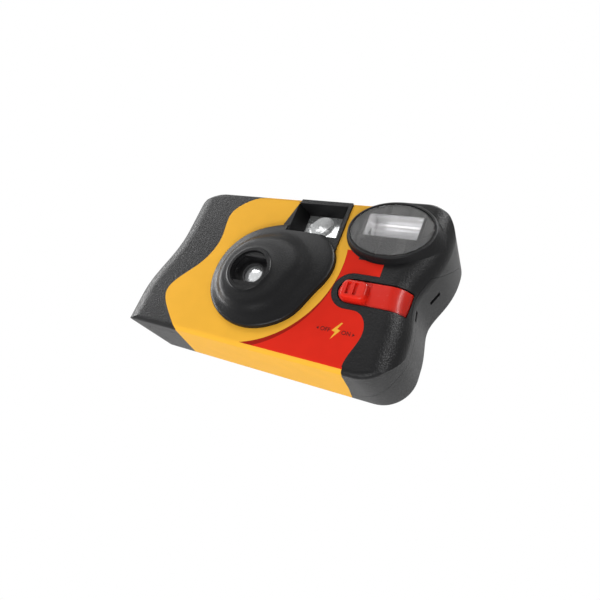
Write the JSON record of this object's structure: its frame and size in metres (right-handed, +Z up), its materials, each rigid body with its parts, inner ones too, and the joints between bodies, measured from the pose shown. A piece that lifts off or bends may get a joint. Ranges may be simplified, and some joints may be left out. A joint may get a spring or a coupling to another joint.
{
  "type": "disposable film camera",
  "caption": "Single-use 35 mm film camera with built-in flash, slide switch, thumb winding wheel, simple viewfinder and fixed lens in a two-part black casing with a colour wrap label.",
  "frame": {"origin": "on the table, under the middle of the bounding box", "axes": "+Z up, the lens looks along -Y, +X to the right when seen from the front"},
  "size_m": [0.117, 0.039, 0.0646],
  "materials": {
    "black_plastic": "fine grained matte moulding",
    "label_film": "satin printed film",
    "inner_black": "matte",
    "clear_plastic": "polished clear",
    "smoky_clear": "polished, slightly smoky",
    "mirror_sheet": "bright formed sheet",
    "tube_glass": "clear glass",
    "board_green": "satin lacquered board",
    "capacitor_sleeve": "shrunk sleeve",
    "winding_tape": "tape over the winding",
    "lamp_orange": "clear bulb",
    "battery_wrap": "satin wrap",
    "contact_steel": "plated strip",
    "can_metal": "lacquered sheet",
    "cap_black": "semi-gloss",
    "spool_black": "moulded",
    "wheel_black": "moulded",
    "film_base": "smooth film",
    "counter_white": "moulded",
    "blade_sheet": "blackened sheet",
    "lever_plastic": "moulded",
    "button_grey": "fine grained",
    "spring_steel": "drawn wire",
    "slider_red": "glossy moulding"
  },
  "bodies": {
    "casing": {"front_cover": "black_plastic", "rear_cover": "black_plastic", "wrap_label": "label_film", "film_door": "black_plastic", "main_frame": "inner_black", "taking_lens": "clear_plastic", "lens_holder": "inner_black", "lens_ring": "inner_black", "viewfinder_front_lens": "clear_plastic", "viewfinder_eyepiece": "clear_plastic", "flash_cover": "smoky_clear", "flash_reflector": "mirror_sheet", "flash_tube": "tube_glass", "flash_circuit_board": "board_green", "flash_capacitor": "capacitor_sleeve", "flash_transformer": "winding_tape", "ready_lamp": "lamp_orange", "battery": "battery_wrap", "battery_contact_minus": "contact_steel", "battery_contact_plus": "contact_steel", "sync_contact": "contact_steel", "switch_contact": "contact_steel", "counter_window": "clear_plastic", "cassette_can": "can_metal", "cassette_caps": "cap_black", "film_strip": "film_base", "striker_spring": "spring_steel"},
    "winder": {"thumbwheel": "wheel_black", "cassette_spool": "spool_black"},
    "sprocket": {"sprocket_shaft": "lever_plastic"},
    "supply": {"supply_spool": "inner_black", "film_roll": "film_base"},
    "counter": {"counter_wheel": "counter_white"},
    "button": {"shutter_button": "button_grey", "button_spring": "spring_steel"},
    "metering": {"metering_lever": "lever_plastic"},
    "striker": {"striker_lever": "lever_plastic"},
    "blade": {"shutter_blade": "blade_sheet"},
    "flash_switch": {"flash_slider": "slider_red", "slider_band": "slider_red"}
  },
  "joints": [
    {"name": "film_winding", "type": "hinge", "parent": "casing", "child": "winder", "pos_m": [-0.0366, 0.00515, 0.0528], "axis": [0, 0, 1], "continuous": true},
    {"name": "sprocket_turn", "type": "hinge", "parent": "casing", "child": "sprocket", "pos_m": [-0.014, 0.00755, 0.0413], "axis": [0, 0, 1], "continuous": true},
    {"name": "supply_turn", "type": "hinge", "parent": "casing", "child": "supply", "pos_m": [0.0394, 0.00465, 0.0265], "axis": [0, 0, 1], "continuous": true},
    {"name": "counter_turn", "type": "hinge", "parent": "casing", "child": "counter", "pos_m": [-0.0095, -0.00095, 0.0565], "axis": [0, 0, 1], "continuous": true},
    {"name": "button_press", "type": "slide", "parent": "casing", "child": "button", "axis": [0, 0, -1], "range_m": [0, 0.0015], "stiffness_N_per_m": 800, "springref_m": -0.0005, "deforming": ["button_spring"]},
    {"name": "metering_turn", "type": "hinge", "parent": "casing", "child": "metering", "pos_m": [-0.006, 0.00655, 0.0501], "axis": [0, 0, 1], "range_deg": [0, 6]},
    {"name": "striker_swing", "type": "hinge", "parent": "casing", "child": "striker", "pos_m": [-0.0185, -0.00145, 0.0464], "axis": [0, 0, 1], "range_deg": [0, 38], "stiffness_Nm_per_rad": 0.002, "springref_deg": -5.73},
    {"name": "blade_swing", "type": "hinge", "parent": "casing", "child": "blade", "pos_m": [-0.015, -0.0106, 0.034], "axis": [0, 1, 0], "range_deg": [0, 30.5]},
    {"name": "flash_switch_slide", "type": "slide", "parent": "casing", "child": "flash_switch", "axis": [1, 0, 0], "range_m": [0, 0.008], "deforming": ["slider_band"]}
  ],
  "couplings": [
    {"joint": "sprocket_turn", "follows": "film_winding", "ratio": 1.32},
    {"joint": "supply_turn", "follows": "film_winding", "ratio": 0.91},
    {"joint": "counter_turn", "follows": "film_winding", "ratio": -0.044},
    {"joint": "metering_turn", "follows": "button_press", "rad_per_m": 69.8},
    {"joint": "blade_swing", "follows": "striker_swing", "ratio": 0.8}
  ]
}
